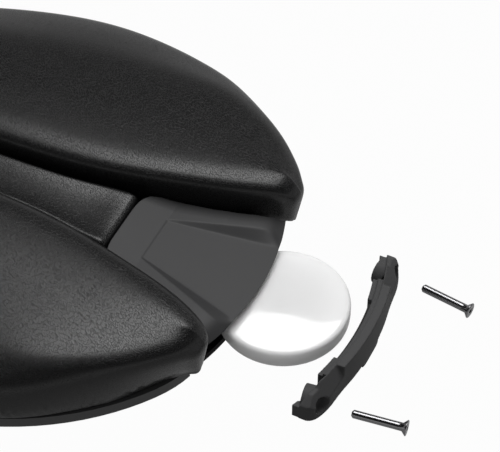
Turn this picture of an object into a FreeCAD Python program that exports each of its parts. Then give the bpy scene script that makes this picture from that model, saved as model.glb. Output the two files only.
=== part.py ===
"""Bicycle saddle whose tail holds a coin-shaped tracking tag, shown with the tag bay open.

Frame, in millimetres: +X towards the nose, +Y to the rider's left, +Z up.  The origin lies midway
between the two rails, at the middle of their straight clamp zone and at the height of their axes.
Places along the saddle are given from the corners of the tail lip, forward, and called "fore";
heights are given from the lip and called "rise".  The rest pose is the opened bay: the tag is part
way out, the rear cap stands off behind it and the two cap screws stand off behind the cap.
"""

import FreeCAD, Part
import math
import os
from FreeCAD import Placement, Rotation, Vector

# Driving dimensions: name, value, what it is.
DIMENSIONS = [
    ("tail_x", -122.0, "corners of the tail lip, along X"),
    ("lip_height", 44.0, "top of the tail lip above the rail axes"),
    ("saddle_length", 268.0, "tail corners to nose tip"),
    ("plate_top", 39.0, "top face of the base shell"),
    ("plate_thickness", 3.0, "wall of the base shell"),
    ("skirt_depth", 12.0, "deepest skirt of the base shell, below its top face"),
    ("skirt_wall", 2.6, "thickness of the nose skirt"),
    ("relief_width", 10.0, "width of the relief slot in the base shell"),
    ("relief_start", 82.0, "rear end of the relief slot, fore"),
    ("relief_end", 196.0, "front end of the relief slot, fore"),
    ("cushion_crest", 10.5, "rise of the cushions' flat crest"),
    ("cover_thickness", 1.4, "synthetic leather cover with its backing"),
    ("gap", 0.4, "gap between neighbouring pieces of the tail"),
    ("lip_radius", 63.0, "plan radius of the tail lip"),
    ("lip_bulge", 3.5, "how far the middle of the lip stands behind its corners"),
    ("pocket_radius", 16.4, "half width of the tag bay"),
    ("pocket_fore", 17.5, "centre of the seated tag, fore"),
    ("pocket_roof", -1.6, "rise of the bay's roof"),
    ("pocket_floor", -10.9, "rise of the bay's floor"),
    ("tray_wall", 2.0, "side wall of the bay"),
    ("tray_bottom", -12.7, "rise of the tray's underside"),
    ("pad_thickness", 0.8, "anti-rattle pad on the bay's floor"),
    ("tag_radius", 15.95, "tracking tag, half of 31.9"),
    ("tag_thickness", 8.0, "tracking tag"),
    ("tag_rise", -5.8, "middle plane of the tag"),
    ("tag_travel", 26.7, "rest pose to seated, along X"),
    ("tray_mouth", 58.9, "plan radius of the tray's open end"),
    ("cap_radius", 65.5, "plan radius of the rear cap's outer face at its middle"),
    ("cap_inner", 63.3, "plan radius of the cap wall's inner face, just behind the lip"),
    ("flange_inner", 61.9, "plan radius of the flange that goes under the lip"),
    ("tab_inner", 60.6, "plan radius that the cap's side tabs reach in to"),
    ("cap_half_width", 25.0, "rear cap, middle to end"),
    ("cap_crest", -0.35, "rise of the cap's top, which carries on the sunken panel"),
    ("flank_fall", 3.4, "how far the cap's top falls outwards on each side of the panel"),
    ("flange_top", -2.1, "rise of the flange's top, under the lip"),
    ("end_flange_top", -5.0, "rise of the flange at the cap's ends"),
    ("cap_bottom", -8.9, "rise of the cap's lower edge"),
    ("cap_travel", 26.2, "rest pose to closed, along X"),
    ("thumb_tab_drop", 1.5, "tab under the middle of the cap, below its lower edge"),
    ("boss_radius", 3.2, "screw boss on the cap's inner side"),
    ("boss_shift", 1.2, "middle of the screw boss from its hole, towards the middle plane"),
    ("screw_splay", 7.5, "angle of each cap screw from the X axis, in degrees"),
    ("screw_side", 21.6, "cap screw's head from the middle plane, seated"),
    ("screw_fore", -2.2, "cap screw's head, seated, fore"),
    ("screw_rise", -5.8, "height of the cap screws' axes"),
    ("screw_travel", 20.8, "rest pose to seated, along the screw's own axis"),
    ("screw_length", 13.0, "cap screw with its head"),
    ("insert_fore", 7.1, "rear end of the brass inserts, fore"),
    ("screw_radius", 1.0, "M2 cap screw"),
    ("head_radius", 1.9, "countersunk head of the cap screw"),
    ("insert_radius", 1.9, "brass insert in the tray's boss"),
    ("insert_length", 6.0, "brass insert in the tray's boss"),
    ("rail_radius", 3.5, "round saddle rail, half of 7"),
    ("tapping_radius", 1.5, "self-tapping screws of the sockets and the tray"),
    ("tapping_head_radius", 2.8, "their pan heads"),
    ("tapping_head_height", 1.8, "their pan heads"),
    ("drive_radius", 0.7, "their driving holes"),
    ("drive_depth", 0.9, "their driving holes"),
]

# Outline of the base shell's rim, from the tail to the nose tip: fore and half width.
RIM = [(1.4, 20), (2.2, 25), (4.4, 30.8), (8, 36.4), (30, 55), (65, 63.5), (107, 53), (140, 36),
       (182, 22), (228, 18), (258, 12.5)]

# Each cushion at stations along the saddle: fore, inner and outer half width at its foot, and how
# far its inner and outer sides lean in over the height from the groove to the crest's shoulder.
CUSHION = [
    (4, 18.7, 30.2, 4.5, 0.0),
    (12, 16.0, 40.2, 5.0, 0.5),
    (28, 12.4, 53.3, 5.5, 4.0),
    (50, 8.2, 62.0, 5.5, 9.5),
    (75, 6.9, 63.2, 5.3, 11.0),
    (105, 6.9, 54.0, 5.3, 9.0),
    (140, 6.9, 36.0, 5.0, 6.0),
    (185, 6.9, 21.6, 4.0, 4.0),
    (220, 8.6, 18.4, 3.0, 2.5),
]
# The cushion's level curves: rise, share of the inner lean, share of the outer lean, and the tail
# end of the curve, fore.
CUSHION_LEVELS = [(-5.0, 0.0, 0.0, 1.6), (-1.0, 0.0, -0.06, 0.2), (4.0, 0.1, 0.3, -1.1),
                  (8.0, 1.0, 1.0, -1.5), (10.5, 1.8, 1.6, 2.2)]
CUSHION_TAIL_SIDE = 25.5
CUSHION_NOSE = (237.0, 16.2)
CORE_TAIL_BACK = 4.5
CORE_NOSE = (180.0, 14.2)

# Side outlines along the saddle: fore and rise.
CUSHION_TOP = [(-12, 16), (40, 15), (80, 12.6), (115, 10), (150, 7.4), (190, 5.8), (220, 5.4), (245, 4)]
STRIP_TOP = [(30, 5.4), (60, 6.4), (110, 5.6), (150, 3.8), (190, 3.2), (225, 4.2), (246, 3.4),
             (260, 0.6), (269, -5)]
RIM_BOTTOM = [(60, -8), (95, -8.4), (130, -11), (165, -14.5), (200, -16), (235, -15), (269, -10)]

# Half outline of the centre strip, from its rounded rear end to where it meets the nose.
STRIP = [(36.0, 0), (36.6, 5.0), (39.5, 8.0), (46, 7.2), (62, 6.3), (120, 6.3), (190, 6.3), (212, 7.0),
         (226, 10.5), (237, 15.6)]
# Half outline of the rear housing's side, from the lip corner to its front corner.
HOUSING_SIDE = [(0, 20.7), (3.6, 18.3), (10, 16.2), (16, 14.5), (24, 13.0), (30, 11.4), (33.4, 8.6)]
HOUSING_FRONT = 34.8
# Crown of the rear housing along its middle: fore and rise, behind the lip and forward.
HOUSING_CROWN = [(-3.5, -0.4), (-2.2, 1.0), (1.5, 2.2), (12, 2.6), (24, 2.75), (36, 4.3)]
# Flared panel sunk into the housing: fore, half width of its floor, rise of its floor.
PANEL_FRONT = (24.5, 6.3, 2.6)
PANEL_REAR = (-8.0, 14.2, -0.35)
PANEL_TOP = 9.0

# Outer face of the rear cap where it leaves the arc and stands out at its ends: side and fore.
CAP_END = [(13, -4.7), (16, -4.3), (19, -3.95), (22, -3.2), (24.2, -2.0), (25, -0.6)]
# Top line of the rear cap seen from behind: the panel's floor, the flank beside it, and the low
# ends that pass under the cushions' tips.  Side and rise.
CAP_TOP_LINE = [(13.0, -0.35), (13.6, -0.5), (19.4, -0.8), (20.3, -1.9), (22.5, -2.2), (25.5, -4.4)]
FLANK_START = 13.3
TAB_SIDES = (9.5, 15.8)
TAB_TOP, TAB_HEIGHT = -3.0, 4.5
THUMB_TAB_HALF = 4.3
CAP_BOSS_START, CAP_BOSS_LENGTH = 1.2, 3.0

# Rail route on the left: fore-aft place X, side place Y, height Z, and the bend radius there.
RAIL_ROUTE = [(-92, 37, 28.5, 0), (-73, 33.5, 25.5, 26), (-52, 22, 0, 26), (43, 22, 0, 26),
              (84, 12.0, 17.0, 40), (121, 8, 22.5, 0)]
# Screws that go up into the base shell: X, Y on the left.
SOCKET_SCREWS = [(-80.5, 45.4), (-80.5, 25.6), (-66.5, 40.5), (-66.5, 24.6)]
TRAY_SCREWS = [(-96.5, 22.0), (-83.2, 8.0)]
FRONT_SCREW_X = 111.0
FRONT_BLOCK = 20.0

LEFT, RIGHT = 1, -1

doc = FreeCAD.newDocument("saddle")
sheet = doc.addObject("Spreadsheet::Sheet", "dims")
for row, (name, value, meaning) in enumerate(DIMENSIONS, start=1):
    sheet.set("A%d" % row, name)
    sheet.set("B%d" % row, str(value))
    sheet.setAlias("B%d" % row, name)
    sheet.set("C%d" % row, meaning)
doc.recompute()

nodes = {}


def dim(name):
    """A driving dimension, read from the sheet."""
    return float(sheet.get(name))


def fore(distance):
    """X of a place given from the tail lip's corners, forward."""
    return dim("tail_x") + distance


def rise(height):
    """Z of a height given from the tail lip."""
    return dim("lip_height") + height


def publish(label, thing):
    """Name a finished sub-part, so that it is checked and written."""
    thing.Label = label
    nodes[label] = thing
    return thing


def spline(points, closed=False):
    """Smooth curve through the points."""
    curve = Part.BSplineCurve()
    curve.interpolate(Points=[Vector(*p) for p in points], PeriodicFlag=closed)
    return curve


def inset(points, distance):
    """The points moved to the right of the way they run, in plan: towards the inside of an outline
    that runs clockwise seen from above."""
    curve = spline(points)
    moved = []
    for p in points:
        along = curve.tangent(curve.parameter(Vector(*p)))[0]
        moved.append((p[0] + along.y * distance, p[1] - along.x * distance) + tuple(p[2:]))
    return moved


def sketch_on(body, name, role, offset_axis=None, offset=None):
    """Sketch on one of the body's own origin planes, set off from it by a sheet expression."""
    plane = [f for f in body.Origin.OriginFeatures if f.Role == role][0]
    sketch = body.newObject("Sketcher::SketchObject", name)
    sketch.AttachmentSupport = [(plane, "")]
    sketch.MapMode = "FlatFace"
    if offset:
        sketch.setExpression("AttachmentOffset.Base." + offset_axis, offset)
    return sketch


def draw(sketch, curves):
    """Put curves that join end to end into a sketch."""
    for curve in curves:
        sketch.addGeometry(curve, False)
    return sketch


def segment(a, b):
    return Part.LineSegment(Vector(a[0], a[1], 0), Vector(b[0], b[1], 0))


def polygon(points):
    """Closed run of straight segments."""
    return [segment(points[i - 1], points[i]) for i in range(len(points))]


def extrude(body, kind, name, sketch, length, reverse=False, both=False):
    """Pad or Pocket of a sketch; the length is a sheet expression."""
    feature = body.newObject("PartDesign::" + kind, name)
    feature.Profile = sketch
    feature.setExpression("Length", length)
    feature.Reversed = reverse
    feature.Midplane = both
    sketch.Visibility = False
    body.Tip = feature
    doc.recompute()
    return feature


def new_body(name):
    return doc.addObject("PartDesign::Body", name + "_body")


def boolean(kind, name, base, tool):
    """Part::Cut or Part::Common of two objects."""
    result = doc.addObject("Part::" + kind, name)
    result.Base = base
    result.Tool = tool
    return result


def fuse(name, things):
    result = doc.addObject("Part::MultiFuse", name)
    result.Shapes = things
    return result


def mirror_of(thing, label):
    """The same piece on the other side of the saddle's middle plane."""
    twin = doc.addObject("Part::Mirroring", label)
    twin.Source = thing
    twin.Normal = (0, 1, 0)
    return twin


def block(name, x, y, z):
    """Box between two limits on each axis."""
    box = doc.addObject("Part::Box", name)
    box.Length, box.Width, box.Height = x[1] - x[0], y[1] - y[0], z[1] - z[0]
    box.Placement = Placement(Vector(x[0], y[0], z[0]), Rotation())
    return box


def rod(name, radius, length, start, direction):
    """Cylinder of a sheet radius and length, from a point along a direction."""
    cylinder = doc.addObject("Part::Cylinder", name)
    cylinder.setExpression("Radius", radius)
    cylinder.setExpression("Height", length)
    cylinder.Placement = Placement(Vector(*start), Rotation(Vector(0, 0, 1), Vector(*direction)))
    return cylinder


def lip_centre():
    """X of the vertical axis that the lip's arc turns around."""
    return fore(dim("lip_radius") - dim("lip_bulge"))


def lip_arc(radius, half_width):
    """Arc about the lip's centre, from the left end over the middle to the right end."""
    centre = lip_centre()
    side_x = centre - math.sqrt(radius ** 2 - half_width ** 2)
    return Part.Arc(Vector(side_x, half_width, 0), Vector(centre - radius, 0, 0),
                    Vector(side_x, -half_width, 0))


def bay_outline(half_width, mouth_radius):
    """U of the tag bay: round at the front, straight sides, and a mouth along the lip's arc."""
    centre = fore(dim("pocket_fore"))
    mouth = lip_arc(mouth_radius, half_width)
    left, right = mouth.StartPoint, mouth.EndPoint
    front = Part.Arc(Vector(centre, -half_width, 0), Vector(centre + half_width, 0, 0),
                     Vector(centre, half_width, 0))
    return [mouth, segment(right, (centre, -half_width)), front, segment((centre, half_width), left)]


def screw_axis(side):
    """Seated place of a cap screw's head and the way the screw points."""
    angle = math.radians(dim("screw_splay"))
    head = Vector(fore(dim("screw_fore")), side * dim("screw_side"), rise(dim("screw_rise")))
    return head, Vector(math.cos(angle), side * math.sin(angle), 0)


def insert_seat(head, way):
    """Rear end of the brass insert on a cap screw's axis."""
    return head + way * ((dim("insert_fore") - dim("screw_fore")) / way.x)


def base_shell():
    """Moulded shell: a plate under the cushions whose rim turns down into a skirt at the nose."""
    tip = (fore(dim("saddle_length")), 0)
    half = [(fore(x), y) for x, y in RIM]
    outline = half + [tip] + [(x, -y) for x, y in reversed(half)]
    body = new_body("base_shell")

    rim = sketch_on(body, "rim_outline", "XY_Plane", "z", "dims.plate_top")
    draw(rim, [spline(outline), segment(outline[-1], outline[0])])
    extrude(body, "Pad", "plate_and_skirt", rim, "dims.skirt_depth", reverse=True)

    inner = inset(outline, dim("skirt_wall"))
    hollow = sketch_on(body, "hollow_outline", "XY_Plane", "z", "dims.plate_top - dims.plate_thickness")
    draw(hollow, [spline(inner), segment(inner[-1], inner[0])])
    extrude(body, "Pocket", "underside", hollow, "dims.skirt_depth")

    line = [(fore(x), rise(z)) for x, z in RIM_BOTTOM]
    low = rise(-dim("skirt_depth")) - 20
    rear = (fore(-20), line[0][1])
    side = sketch_on(body, "skirt_line", "XZ_Plane")
    draw(side, [segment(rear, line[0]), spline(line), segment(line[-1], (line[-1][0], low)),
                segment((line[-1][0], low), (rear[0], low)), segment((rear[0], low), rear)])
    extrude(body, "Pocket", "skirt_edge", side, "dims.saddle_length", both=True)

    clear = dim("pocket_radius") + dim("tray_wall") + dim("gap")
    boss_front = fore(17.8)
    half_notch = [(boss_front, clear), (boss_front, 28.7), (fore(6.6), 26.8), (fore(6.0), 25.6),
                  (fore(-12), 25.6)]
    nose_x = fore(dim("pocket_fore"))
    notch = sketch_on(body, "tail_notch", "XY_Plane", "z", "dims.plate_top")
    ends = half_notch + [(x, -y) for x, y in reversed(half_notch)]
    runs = [segment(a, b) for a, b in zip(ends, ends[1:])]
    front = Part.Arc(Vector(boss_front, -clear, 0), Vector(nose_x + clear, 0, 0),
                     Vector(boss_front, clear, 0))
    draw(notch, runs + [front])
    extrude(body, "Pocket", "bay_notch", notch, "dims.skirt_depth")

    slot = sketch_on(body, "relief_outline", "XY_Plane", "z", "dims.plate_top")
    a, b, w = fore(dim("relief_start")), fore(dim("relief_end")), dim("relief_width") / 2
    draw(slot, [segment((a, w), (b, w)), Part.Arc(Vector(b, w, 0), Vector(b + w, 0, 0), Vector(b, -w, 0)),
                segment((b, -w), (a, -w)), Part.Arc(Vector(a, -w, 0), Vector(a - w, 0, 0), Vector(a, w, 0))])
    extrude(body, "Pocket", "relief_slot", slot, "dims.plate_thickness")
    publish("base_shell", body)


def pocket_tray():
    """Tray of the tag bay: floor, U-shaped wall, a flange under the base shell and two bosses."""
    body = new_body("pocket_tray")
    outer = dim("pocket_radius") + dim("tray_wall")
    mouth = dim("tray_mouth")
    wall = sketch_on(body, "tray_outline", "XY_Plane", "z", "dims.lip_height + dims.tray_bottom")
    draw(wall, bay_outline(outer, mouth))
    extrude(body, "Pad", "tray_block", wall, "dims.pocket_roof - dims.tray_bottom - 0.05")

    flange = sketch_on(body, "flange_outline", "XY_Plane", "z", "dims.plate_top - dims.plate_thickness")
    x0, x1, side, reach = fore(19), fore(30), 25.0, fore(42)
    half = [(x0, side), (x1, side), (reach, 12)]
    draw(flange, polygon(half + [(x, -y) for x, y in reversed(half)]))
    extrude(body, "Pad", "flange", flange, "2", reverse=True)

    bosses = sketch_on(body, "boss_outline", "XY_Plane", "z", "dims.lip_height + dims.screw_rise + 3.2")
    for s in (LEFT, RIGHT):
        draw(bosses, polygon([(fore(7), s * (outer - 1)), (fore(7), s * 26.4), (fore(17.4), s * 28.2),
                              (fore(17.4), s * (outer - 1))]))
    extrude(body, "Pad", "screw_bosses", bosses, "6.4", reverse=True)

    bay = sketch_on(body, "bay_outline", "XY_Plane", "z", "dims.lip_height + dims.pocket_roof")
    draw(bay, bay_outline(dim("pocket_radius"), mouth + 6))
    extrude(body, "Pocket", "bay", bay, "dims.pocket_roof - dims.pocket_floor")

    tools = []
    for s, word in ((LEFT, "left"), (RIGHT, "right")):
        head, way = screw_axis(s)
        seat = insert_seat(head, way)
        tools.append(rod("insert_seat_" + word, "dims.insert_radius", "dims.insert_length", seat, way))
        tools.append(rod("screw_run_" + word, "dims.screw_radius + 0.15", "dims.screw_length + 1.2",
                         head, way))
    for k, (x, y) in enumerate(TRAY_SCREWS):
        for s in (LEFT, RIGHT):
            tools.append(rod("flange_hole_%d_%d" % (k, s + 1), "dims.tapping_radius", "6",
                             (x, s * y, rise(-13)), (0, 0, 1)))
    publish("pocket_tray", boolean("Cut", "tray_cut", body, fuse("tray_holes", tools)))


def housing_outline():
    """Plan of the housing's visible top: the lip's arc, the flared sides and the round front."""
    side = [(fore(x), y) for x, y in HOUSING_SIDE]
    front = fore(HOUSING_FRONT)
    nose = side[-1:] + [(front - 0.35, side[-1][1] * 0.55), (front, 0)]
    nose = nose + [(x, -y) for x, y in reversed(nose[:-1])]
    lip = lip_arc(dim("lip_radius"), HOUSING_SIDE[0][1])
    left = spline([(lip.StartPoint.x, lip.StartPoint.y)] + side[1:])
    right = spline([(lip.EndPoint.x, lip.EndPoint.y)] + [(x, -y) for x, y in side[1:]])
    return [lip, left, spline(nose), right]


def rear_housing():
    """Moulded cover of the tag bay, flush with the centre strip, with a flared panel sunk in it."""
    body = new_body("rear_housing")
    flange = sketch_on(body, "roof_outline", "XY_Plane", "z", "dims.lip_height + dims.pocket_roof")
    draw(flange, bay_outline(dim("pocket_radius") + dim("tray_wall"), dim("lip_radius") - 4.2))
    extrude(body, "Pad", "bay_roof", flange, "1.5")
    top = sketch_on(body, "top_outline", "XY_Plane", "z", "dims.lip_height + dims.pocket_roof")
    draw(top, housing_outline())
    extrude(body, "Pad", "top_block", top, "8")

    centre = lip_centre()
    crown = sketch_on(body, "crown_line", "XZ_Plane", "x", "dims.tail_x + dims.lip_radius - dims.lip_bulge")
    line = [(fore(x) - centre, rise(z)) for x, z in HOUSING_CROWN]
    high = rise(PANEL_TOP)
    behind = line[0][0] - 8
    corners = [line[-1], (line[-1][0], high), (behind, high), (behind, line[0][1]), line[0]]
    draw(crown, [spline(line)] + [segment(a, b) for a, b in zip(corners, corners[1:])])
    groove = body.newObject("PartDesign::Groove", "crown")
    groove.Profile = crown
    groove.ReferenceAxis = (crown, ["V_Axis"])
    groove.Angle = 100
    groove.Midplane = True
    body.Tip = groove
    doc.recompute()

    sections = []
    for name, (x, half, z) in (("panel_front", PANEL_FRONT), ("panel_rear", PANEL_REAR)):
        top_half = half + (PANEL_TOP - z)
        section = sketch_on(body, name, "YZ_Plane")
        section.AttachmentOffset = Placement(Vector(0, 0, fore(x)), Rotation())
        draw(section, polygon([(-half, rise(z)), (half, rise(z)), (top_half, rise(PANEL_TOP)),
                               (-top_half, rise(PANEL_TOP))]))
        sections.append(section)
    panel = body.newObject("PartDesign::SubtractiveLoft", "flared_panel")
    panel.Profile = sections[0]
    panel.Sections = [sections[1]]
    panel.Ruled = True
    body.Tip = panel
    doc.recompute()
    publish("rear_housing", body)


def bay_pad():
    """Thin foam pad on the bay's floor that keeps the tag from rattling."""
    body = new_body("bay_pad")
    disc = sketch_on(body, "pad_outline", "XY_Plane", "z", "dims.lip_height + dims.pocket_floor")
    disc.addGeometry(Part.Circle(Vector(fore(dim("pocket_fore")), 0, 0), Vector(0, 0, 1), 14.0), False)
    extrude(body, "Pad", "pad", disc, "dims.pad_thickness")
    publish("bay_pad", body)


def cushion_form(name, shrink, top):
    """Pillow of one side, lofted through its level curves; shrink moves every side inwards and
    leaves out the cushion's two thin ends."""
    stations, nose, tail_back = CUSHION, CUSHION_NOSE, 0.0
    if shrink:
        stations, nose, tail_back = CUSHION[1:-2], CORE_NOSE, CORE_TAIL_BACK
    wires = []
    for z, inner_share, outer_share, tail in CUSHION_LEVELS:
        z = min(z, top)
        outer = [(fore(x), y1 - outer_share * lean1 - shrink, rise(z)) for x, y0, y1, lean0, lean1
                 in stations]
        inner = [(fore(x), y0 + inner_share * lean0 + shrink, rise(z)) for x, y0, y1, lean0, lean1
                 in stations]
        tail_point = (fore(tail + tail_back), CUSHION_TAIL_SIDE + inner_share * 1.6, rise(z))
        nose_point = (fore(nose[0] - 3 * inner_share), nose[1] - inner_share, rise(z))
        ring = spline([tail_point] + outer + [nose_point] + inner[::-1], closed=True)
        wires.append(Part.Wire(ring.toShape()))
    form = doc.addObject("Part::Feature", name)
    form.Shape = Part.makeLoft(wires, True, False)
    return form


def side_profile(name, line, drop):
    """Everything under a side outline, as wide as the saddle."""
    top = [Vector(fore(x), 0, rise(z) - drop) for x, z in line]
    curve = Part.BSplineCurve()
    curve.interpolate(Points=top)
    low = rise(-30)
    a, b = Vector(top[0].x, 0, low), Vector(top[-1].x, 0, low)
    edges = [curve.toShape(), Part.makeLine(top[-1], b), Part.makeLine(b, a), Part.makeLine(a, top[0])]
    profile = doc.addObject("Part::Feature", name)
    profile.Shape = Part.Face(Part.Wire(edges)).extrude(Vector(0, 160, 0))
    profile.Placement = Placement(Vector(0, -80, 0), Rotation())
    return profile


def tail_clearance():
    """Room under the cushions for the bay's roof, its bosses and the rear cap."""
    roof = doc.addObject("Part::Feature", "roof_room")
    grown = dim("pocket_radius") + dim("tray_wall") + dim("gap")
    face = Part.Face(Part.Wire([c.toShape() for c in bay_outline(grown, dim("lip_radius") + 8)]))
    roof.Shape = face.extrude(Vector(0, 0, 20))
    roof.Placement = Placement(Vector(0, 0, rise(0.2) - 20), Rotation())
    bosses = block("boss_room", (fore(6.6), fore(17.8)), (-28.7, 28.7), (rise(-20), rise(-2.2)))
    cap = block("cap_room", (fore(-20), fore(7.0)), (-25.8, 25.8), (rise(-20), rise(-1.5)))
    return fuse("tail_room", [roof, bosses, cap])


def cushions(strip):
    """Left and right cushions: a foam core on the base shell inside a fitted cover."""
    room = tail_clearance()
    wall = dim("cover_thickness")
    crest = dim("cushion_crest")
    outer = boolean("Common", "cushion_outer", cushion_form("cushion_skin", 0.0, crest),
                    side_profile("cushion_profile", CUSHION_TOP, 0.0))
    core = boolean("Common", "core_outer", cushion_form("core_form", wall, crest - wall),
                   side_profile("core_profile", CUSHION_TOP, wall))
    around = fuse("cushion_neighbours", [room, strip])
    cover = boolean("Cut", "cover_cut", boolean("Cut", "cover_shell", outer, core), around)
    foam = boolean("Cut", "foam_cut", core, room)
    publish("cover_left", cover)
    publish("foam_left", foam)
    publish("cover_right", mirror_of(cover, "cover_twin"))
    publish("foam_right", mirror_of(foam, "foam_twin"))


def centre_strip():
    """Padded strip between the cushions that flares into the nose pad."""
    body = new_body("centre_strip")
    rim = [(fore(x), y - 0.3) for x, y in RIM if x > 250]
    half = [(fore(x), y) for x, y in STRIP] + rim
    tip = (fore(dim("saddle_length")) - 0.4, 0)
    points = half[1:] + [tip] + [(x, -y) for x, y in reversed(half[1:])] + [half[0]]
    plan = sketch_on(body, "strip_outline", "XY_Plane", "z", "dims.plate_top")
    draw(plan, [spline(points, closed=True)])
    extrude(body, "Pad", "strip_block", plan, "14")

    line = [(fore(x), rise(z)) for x, z in STRIP_TOP]
    high = rise(20)
    side = sketch_on(body, "strip_top", "XZ_Plane")
    draw(side, [spline(line), segment(line[-1], (line[-1][0], high)),
                segment((line[-1][0], high), (line[0][0], high)), segment((line[0][0], high), line[0])])
    extrude(body, "Pocket", "strip_crown", side, "80", both=True)
    return publish("centre_strip", body)


def rail_path():
    """The left rail's route: straight runs joined by tangent arcs."""
    points = [Vector(x, y, z) for x, y, z, bend in RAIL_ROUTE]
    edges, start = [], points[0]
    for k in range(1, len(points) - 1):
        back = (points[k - 1] - points[k]).normalize()
        ahead = (points[k + 1] - points[k]).normalize()
        half_turn = (math.pi - back.getAngle(ahead)) / 2
        bend = RAIL_ROUTE[k][3]
        reach = bend * math.tan(half_turn)
        a, b = points[k] + back * reach, points[k] + ahead * reach
        bisector = (back + ahead).normalize()
        middle = points[k] + bisector * (bend / math.cos(half_turn) - bend)
        edges += [Part.makeLine(start, a), Part.Arc(a, middle, b).toShape()]
        start = b
    edges.append(Part.makeLine(start, points[-1]))
    return Part.Wire(edges)


def rails():
    """Two bent steel rods, 7 mm thick, that the seatpost clamp holds."""
    path = rail_path()
    first = path.Edges[0]
    way = first.tangentAt(first.FirstParameter)
    ring = Part.Wire(Part.makeCircle(dim("rail_radius"), first.Vertexes[0].Point, way))
    rail = doc.addObject("Part::Feature", "rail_sweep")
    rail.Shape = path.makePipeShell([ring], True, False)
    publish("rail_left", rail)
    publish("rail_right", mirror_of(rail, "rail_twin"))
    return rail


def rail_sockets(rail):
    """Moulded sockets under the base shell that take the four ends of the rails."""
    plate_bottom = dim("plate_top") - dim("plate_thickness")
    body = new_body("rear_socket")
    plan = sketch_on(body, "socket_outline", "XY_Plane")
    plan.AttachmentOffset = Placement(Vector(0, 0, plate_bottom), Rotation())
    draw(plan, polygon([(-88, 22), (-88, 49), (-74, 49), (-62, 45), (-62, 21), (-70, 20)]))
    extrude(body, "Pad", "socket_foot", plan, "2.5", reverse=True)
    grip = sketch_on(body, "grip_outline", "XY_Plane")
    grip.AttachmentOffset = Placement(Vector(0, 0, plate_bottom - 2.5), Rotation())
    draw(grip, polygon([(-88, 30.2), (-88, 42.6), (-74, 40.2), (-74, 27.6)]))
    extrude(body, "Pad", "socket_grip", grip, "10.5", reverse=True)
    holes = [rail]
    for k, (x, y) in enumerate(SOCKET_SCREWS):
        holes.append(rod("socket_hole_%d" % k, "dims.tapping_radius", "5", (x, y, plate_bottom - 4),
                         (0, 0, 1)))
    socket = boolean("Cut", "rear_socket_cut", body, fuse("rear_socket_holes", holes))
    publish("rear_socket_left", socket)
    publish("rear_socket_right", mirror_of(socket, "rear_socket_twin"))

    front = new_body("front_socket")
    plan = sketch_on(front, "front_outline", "XY_Plane")
    plan.AttachmentOffset = Placement(Vector(0, 0, plate_bottom), Rotation())
    draw(plan, polygon([(98, 14), (98, -14), (124, -12.6), (124, 12.6)]))
    extrude(front, "Pad", "front_block", plan, str(FRONT_BLOCK), reverse=True)
    twin = nodes["rail_right"]
    holes = [rail, twin, rod("front_hole", "dims.tapping_radius", "24",
                             (FRONT_SCREW_X, 0, plate_bottom - 22), (0, 0, 1))]
    publish("front_socket", boolean("Cut", "front_socket_cut", front, fuse("front_socket_holes", holes)))


def countersunk(name, radius, head_radius, length, hex_radius):
    """Countersunk screw along +X from the flat of its head, with a hexagon socket."""
    body = new_body(name)
    profile = sketch_on(body, name + "_profile", "XZ_Plane")
    edge = 0.25
    cone = head_radius - radius
    draw(profile, polygon([(0, 0), (0, head_radius), (edge, head_radius), (edge + cone, radius),
                           (length - 0.4, radius), (length, radius - 0.4), (length, 0)]))
    turned = body.newObject("PartDesign::Revolution", name + "_turned")
    turned.Profile = profile
    turned.ReferenceAxis = (profile, ["H_Axis"])
    turned.Angle = 360
    body.Tip = turned
    doc.recompute()
    socket = sketch_on(body, name + "_socket", "YZ_Plane")
    corners = [(hex_radius * math.cos(math.radians(60 * k)), hex_radius * math.sin(math.radians(60 * k)))
               for k in range(6)]
    draw(socket, polygon(corners))
    extrude(body, "Pocket", name + "_hex", socket, "0.9", reverse=True)
    return body


def cap_screws():
    """The two cap screws, stood off behind the cap along their own splayed axes."""
    for side, word in ((LEFT, "left"), (RIGHT, "right")):
        screw = countersunk("cap_screw_" + word, dim("screw_radius"), dim("head_radius"),
                            dim("screw_length"), 0.75)
        head, way = screw_axis(side)
        start = head - way * dim("screw_travel") - Vector(dim("cap_travel"), 0, 0)
        turn = Rotation(Vector(0, 0, 1), side * dim("screw_splay"))
        screw.Placement = Placement(start, turn)
        publish("cap_screw_" + word, screw)


def inserts():
    """Knurled brass inserts in the tray's bosses that the cap screws bite into."""
    for side, word in ((LEFT, "left"), (RIGHT, "right")):
        head, way = screw_axis(side)
        seat = insert_seat(head, way)
        outside = rod("insert_outside_" + word, "dims.insert_radius", "dims.insert_length", seat, way)
        bore = rod("insert_bore_" + word, "dims.screw_radius + 0.05", "dims.insert_length", seat, way)
        publish("brass_insert_" + word, boolean("Cut", "insert_cut_" + word, outside, bore))


def cap_plan():
    """Plan of the cap's wall: the outer face, round ends and the inner arc behind the lip."""
    centre, radius = lip_centre(), dim("cap_radius")
    middle = [(centre - math.sqrt(radius ** 2 - y ** 2), y) for y in (10, 5, 0, -5, -10)]
    left = [(fore(x), y) for y, x in reversed(CAP_END)]
    outer = left + middle + [(x, -y) for x, y in reversed(left)]
    inner = lip_arc(dim("cap_inner"), dim("cap_half_width"))
    return [spline(outer), inner, segment(outer[0], inner.StartPoint), segment(outer[-1], inner.EndPoint)]


def ring_sector(inner, outer, start_side, end_side):
    """Plan of a piece of ring about the lip's centre, between two sides: one or both halves."""
    centre = lip_centre()

    def place(radius, side):
        return Vector(centre - math.sqrt(radius ** 2 - side ** 2), side, 0)

    middle = (start_side + end_side) / 2
    arcs = [Part.Arc(place(r, start_side), place(r, middle), place(r, end_side)) for r in (inner, outer)]
    return arcs + [segment(place(inner, s), place(outer, s)) for s in (start_side, end_side)]


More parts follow.
